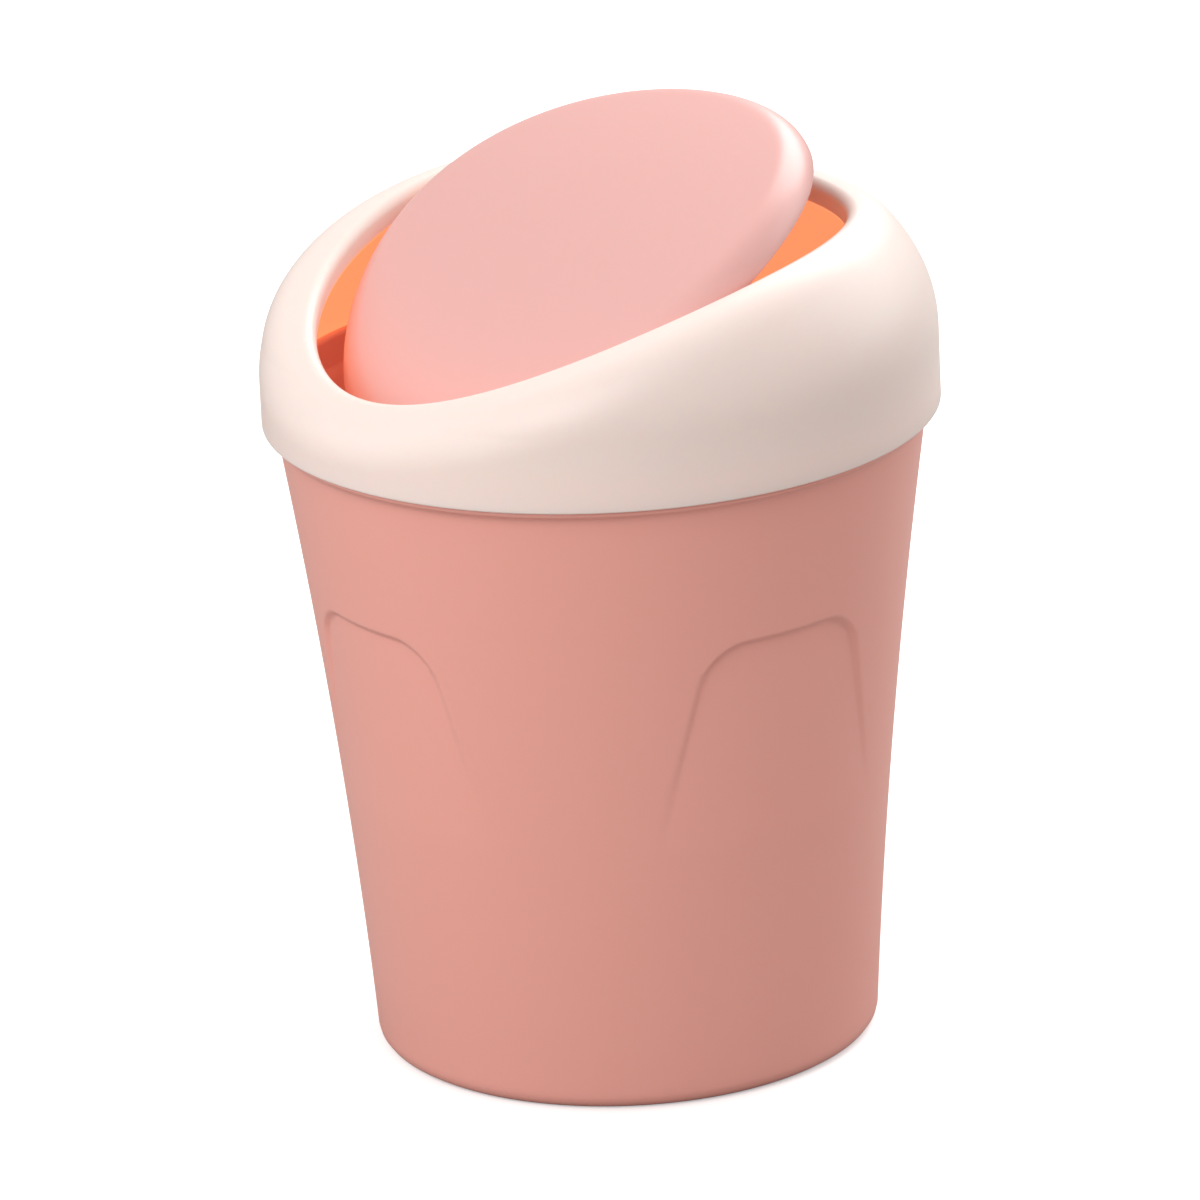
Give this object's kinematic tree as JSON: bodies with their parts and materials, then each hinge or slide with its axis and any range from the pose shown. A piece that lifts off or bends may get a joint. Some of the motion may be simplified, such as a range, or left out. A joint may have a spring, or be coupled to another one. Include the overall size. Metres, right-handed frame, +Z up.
{
  "type": "countertop bin with swing flap",
  "caption": "Small round bin for a worktop: tapered tub, domed collar with a slanting round opening, and a flap that swings in it.",
  "frame": {"origin": "middle of the foot, on the surface that the bin stands on", "axes": "+Z up, -Y towards the low front of the collar, X along the hinge of the flap"},
  "size_m": [0.1362, 0.1362, 0.1874],
  "materials": {
    "tub": "soft satin pink, moulded",
    "collar": "soft satin cream, moulded",
    "flap": "soft satin pink, moulded"
  },
  "bodies": {
    "tub": {"tub": "tub"},
    "collar": {"collar": "collar"},
    "flap": {"flap": "flap"}
  },
  "joints": [
    {"name": "collar_lift", "type": "slide", "parent": "tub", "child": "collar", "axis": [0, 0, 1], "range_m": [0, 0.04]},
    {"name": "flap_swing", "type": "hinge", "parent": "collar", "child": "flap", "pos_m": [0, 0, 0.1565], "axis": [1, 0, 0], "range_deg": [-65, 24]}
  ]
}
